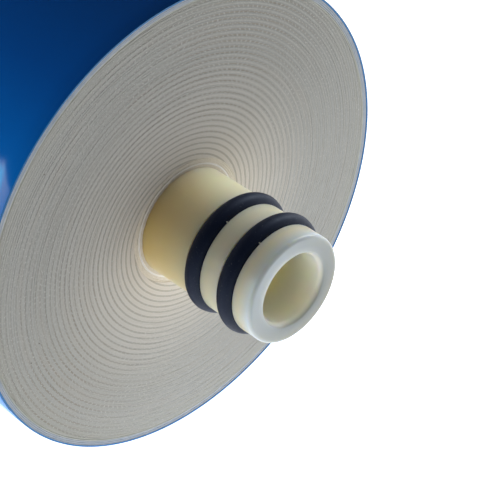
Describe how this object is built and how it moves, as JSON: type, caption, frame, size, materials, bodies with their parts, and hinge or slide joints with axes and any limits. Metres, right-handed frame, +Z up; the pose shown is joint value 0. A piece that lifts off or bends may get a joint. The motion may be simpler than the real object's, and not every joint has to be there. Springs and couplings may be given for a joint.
{
  "type": "reverse osmosis membrane element",
  "caption": "Spiral-wound reverse-osmosis membrane cartridge: folded leaves rolled on a perforated tube in a blue film, with an O-ring outlet spigot and a lipped brine seal.",
  "frame": {"origin": "on the cartridge's axis, in the plane of the wound roll's end face at the outlet", "axes": "+X along the axis, out of the outlet spigot; +Z up with the cartridge lying on its side; +Y completes the right-handed frame"},
  "size_m": [0.298, 0.083, 0.083],
  "materials": {
    "tube_plastic": "moulded ABS, ivory, satin gloss",
    "oring_rubber": "EPDM, smooth, lightly greased",
    "core_cloth": "resin-stiffened tricot, trimmed edge",
    "clear_tape": "clear polypropylene tape, several turns",
    "blue_film": "glossy adhesive film",
    "seal_rubber": "moulded EPDM, satin",
    "seal_tape": "vinyl tape",
    "membrane": "non-woven polyester backing with a cast skin",
    "spacer_net": "extruded polypropylene net",
    "carrier_cloth": "fine tricot, resin-stiffened",
    "leaf_glue": "cured polyurethane in cloth"
  },
  "bodies": {
    "root": {"permeate_tube": "tube_plastic", "oring_front": "oring_rubber", "oring_rear": "oring_rubber", "core_wrap": "core_cloth", "tape_wrap": "clear_tape", "film_wrap": "blue_film", "brine_seal": "seal_rubber", "brine_seal_tape": "seal_tape", "membrane_leaf_01": "membrane", "membrane_leaf_02": "membrane", "membrane_leaf_03": "membrane", "membrane_leaf_04": "membrane", "membrane_leaf_05": "membrane", "membrane_leaf_06": "membrane", "membrane_leaf_07": "membrane", "membrane_leaf_08": "membrane", "membrane_leaf_09": "membrane", "membrane_leaf_10": "membrane", "feed_spacer_01": "spacer_net", "feed_spacer_02": "spacer_net", "feed_spacer_03": "spacer_net", "feed_spacer_04": "spacer_net", "feed_spacer_05": "spacer_net", "feed_spacer_06": "spacer_net", "feed_spacer_07": "spacer_net", "feed_spacer_08": "spacer_net", "feed_spacer_09": "spacer_net", "feed_spacer_10": "spacer_net", "permeate_carrier_01": "carrier_cloth", "permeate_carrier_02": "carrier_cloth", "permeate_carrier_03": "carrier_cloth", "permeate_carrier_04": "carrier_cloth", "permeate_carrier_05": "carrier_cloth", "permeate_carrier_06": "carrier_cloth", "permeate_carrier_07": "carrier_cloth", "permeate_carrier_08": "carrier_cloth", "permeate_carrier_09": "carrier_cloth", "permeate_carrier_10": "carrier_cloth", "glue_seam_01": "leaf_glue", "glue_seam_02": "leaf_glue", "glue_seam_03": "leaf_glue", "glue_seam_04": "leaf_glue", "glue_seam_05": "leaf_glue", "glue_seam_06": "leaf_glue", "glue_seam_07": "leaf_glue", "glue_seam_08": "leaf_glue", "glue_seam_09": "leaf_glue", "glue_seam_10": "leaf_glue"}
  },
  "joints": []
}
